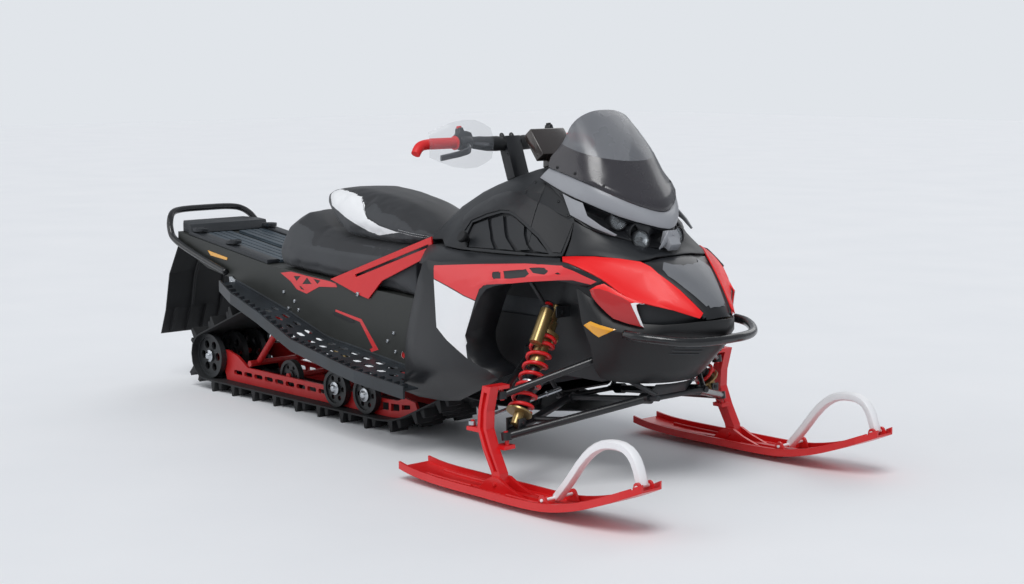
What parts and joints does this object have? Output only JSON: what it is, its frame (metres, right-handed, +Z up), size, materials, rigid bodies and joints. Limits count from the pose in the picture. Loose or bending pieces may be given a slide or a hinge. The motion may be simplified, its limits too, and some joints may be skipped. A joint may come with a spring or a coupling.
{
  "type": "snowmobile",
  "caption": "Trail snowmobile with a lugged track loop, slide-rail skid, double-wishbone skis with steering, stepped seat, tall windshield and rear cargo deck.",
  "frame": {"origin": "on the floor, under the middle of the bounding box's length and width", "axes": "+X forward, +Y to the rider's left, +Z up"},
  "size_m": [3.154, 1.237, 1.1709],
  "materials": {
    "tunnel_paint": "satin",
    "board_paint": "satin",
    "deck_coat": "matt",
    "black_tube": "semi-gloss",
    "flap_rubber": "matt",
    "seat_cover": "matt grained",
    "red_metal": "gloss",
    "tank_plastic": "matt",
    "frame_paint": "satin",
    "engine_metal": "cast",
    "body_plastic": "satin",
    "nose_plastic": "satin",
    "red_plastic": "gloss",
    "silver_plastic": "satin",
    "lamp_lens": "gloss",
    "smoke_glass": "clear",
    "side_plastic": "satin",
    "gauge_plastic": "satin",
    "arm_paint": "satin",
    "shock_gold": "satin",
    "rail_red": "satin",
    "wheel_plastic": "matt",
    "track_rubber": "matt",
    "grip_rubber": "matt",
    "guard_plastic": "clear",
    "rod_steel": "bright",
    "ski_red": "gloss",
    "loop_white": "satin"
  },
  "bodies": {
    "chassis": {"tunnel": "tunnel_paint", "running_boards": "board_paint", "rear_deck": "deck_coat", "rear_grab_bar": "black_tube", "snow_flap": "flap_rubber", "driver_seat": "seat_cover", "rear_seat": "seat_cover", "seat_braces": "red_metal", "fuel_tank": "tank_plastic", "front_frame": "frame_paint", "engine_block": "engine_metal", "console": "body_plastic", "hood": "body_plastic", "nose_panel": "nose_plastic", "hood_sides": "red_plastic", "windshield_bezel": "silver_plastic", "headlamps": "lamp_lens", "windshield": "smoke_glass", "lower_nose": "body_plastic", "belly_pan": "tank_plastic", "front_bumper": "black_tube", "side_panel_right": "side_plastic", "side_panel_left": "side_plastic", "gauge": "gauge_plastic", "lower_arms": "arm_paint", "upper_arms": "arm_paint", "shocks": "shock_gold", "front_springs": "red_metal", "slide_rails": "rail_red", "skid_arms": "rail_red", "idler_wheels": "wheel_plastic", "drive_axle": "wheel_plastic", "track": "track_rubber"},
    "steering": {"steering_post": "frame_paint", "handlebar": "black_tube", "grips": "grip_rubber", "hand_guards": "guard_plastic"},
    "spindle_right": {"spindle_right": "red_metal"},
    "spindle_left": {"spindle_left": "red_metal"},
    "ski_right": {"ski_right": "ski_red", "ski_loop_right": "loop_white"},
    "ski_left": {"ski_left": "ski_red", "ski_loop_left": "loop_white"},
    "tie_rod_right": {"tie_rod_right": "rod_steel"},
    "tie_rod_left": {"tie_rod_left": "rod_steel"}
  },
  "joints": [
    {"name": "handlebar_turn", "type": "hinge", "parent": "chassis", "child": "steering", "pos_m": [0.442, 0, 0.933], "axis": [-0.342, 0, 0.9397], "range_deg": [-32, 32]},
    {"name": "steer_right", "type": "hinge", "parent": "chassis", "child": "spindle_right", "pos_m": [0.925, -0.495, 0.187], "axis": [-0.158, 0, 0.9874], "range_deg": [-30, 30]},
    {"name": "ski_pitch_right", "type": "hinge", "parent": "spindle_right", "child": "ski_right", "pos_m": [0.95, -0.5385, 0.052], "axis": [0, -1, 0], "range_deg": [-12, 15], "stiffness_Nm_per_rad": 60},
    {"name": "tie_rod_right_swing", "type": "hinge", "parent": "spindle_right", "child": "tie_rod_right", "pos_m": [0.815, -0.535, 0.219], "axis": [0, 0, 1], "range_deg": [-30, 30]},
    {"name": "steer_left", "type": "hinge", "parent": "chassis", "child": "spindle_left", "pos_m": [0.925, 0.495, 0.187], "axis": [-0.158, 0, 0.9874], "range_deg": [-30, 30]},
    {"name": "ski_pitch_left", "type": "hinge", "parent": "spindle_left", "child": "ski_left", "pos_m": [0.95, 0.5385, 0.052], "axis": [0, -1, 0], "range_deg": [-12, 15], "stiffness_Nm_per_rad": 60},
    {"name": "tie_rod_left_swing", "type": "hinge", "parent": "spindle_left", "child": "tie_rod_left", "pos_m": [0.815, 0.535, 0.219], "axis": [0, 0, 1], "range_deg": [-30, 30]}
  ],
  "couplings": [
    {"joint": "steer_right", "follows": "handlebar_turn", "ratio": 0.9},
    {"joint": "steer_left", "follows": "handlebar_turn", "ratio": 0.9},
    {"joint": "tie_rod_right_swing", "follows": "handlebar_turn", "ratio": -0.9},
    {"joint": "tie_rod_left_swing", "follows": "handlebar_turn", "ratio": -0.9}
  ]
}
